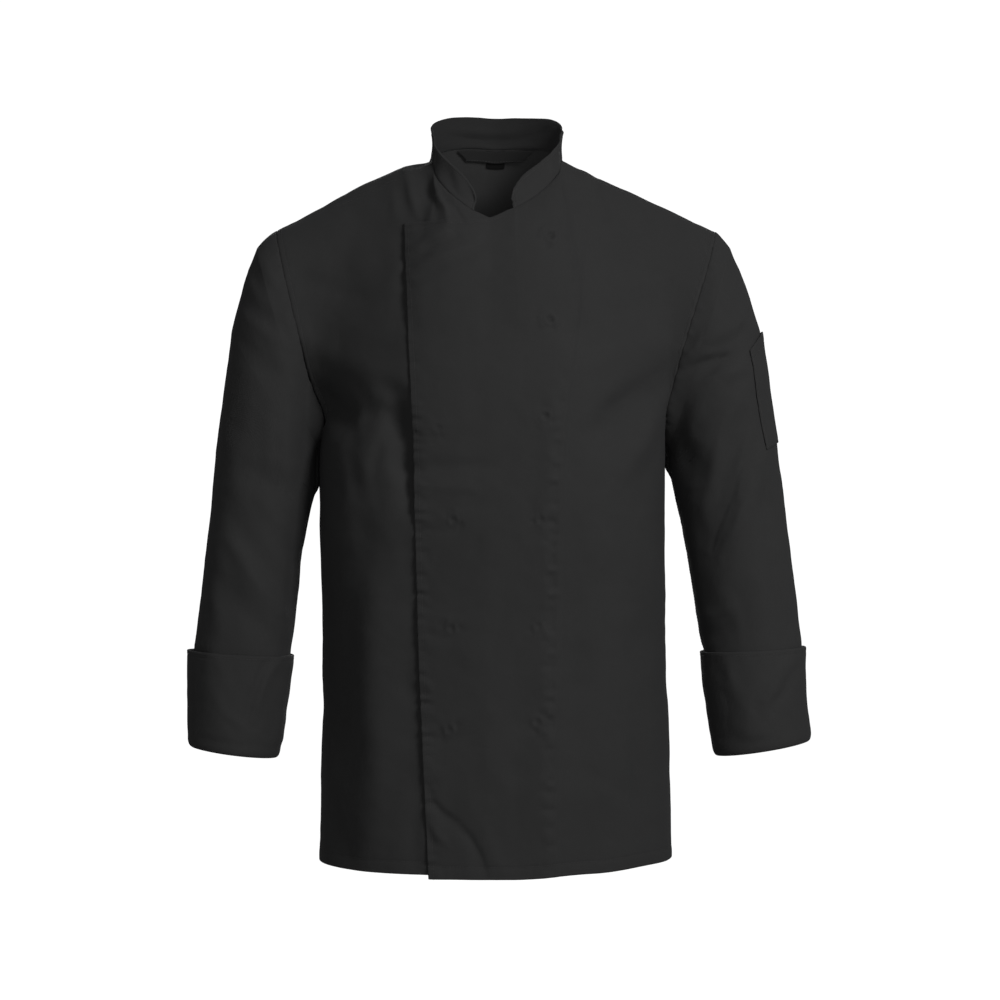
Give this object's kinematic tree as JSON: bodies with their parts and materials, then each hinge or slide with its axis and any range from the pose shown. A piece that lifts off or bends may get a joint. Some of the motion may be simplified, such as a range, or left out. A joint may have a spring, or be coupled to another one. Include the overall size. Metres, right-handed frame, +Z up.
{
  "type": "chef jacket",
  "caption": "Black chef jacket, hollow as when worn: short stand collar, overlapping front with hidden studs, turned-back cuffs and a pen pocket on the sleeve.",
  "frame": {"origin": "middle of the neck, level with the tops of the shoulder seams, where the wearer's neck and shoulders carry the jacket", "axes": "+Z up, from the hem to the collar; -Y is the way the front faces; +X is the wearer's left, the right of the picture"},
  "size_m": [0.6542, 0.2796, 0.7966],
  "materials": {
    "twill": "matte fine twill, near black",
    "tape": "matte woven tape, black"
  },
  "bodies": {
    "root": {"back": "twill", "front_left": "twill", "front_right": "twill", "collar": "twill", "sleeve_left": "twill", "sleeve_right": "twill", "cuff_left": "twill", "cuff_right": "twill", "sleeve_pocket": "twill", "hanger_loop": "tape", "size_label": "tape"}
  },
  "joints": []
}
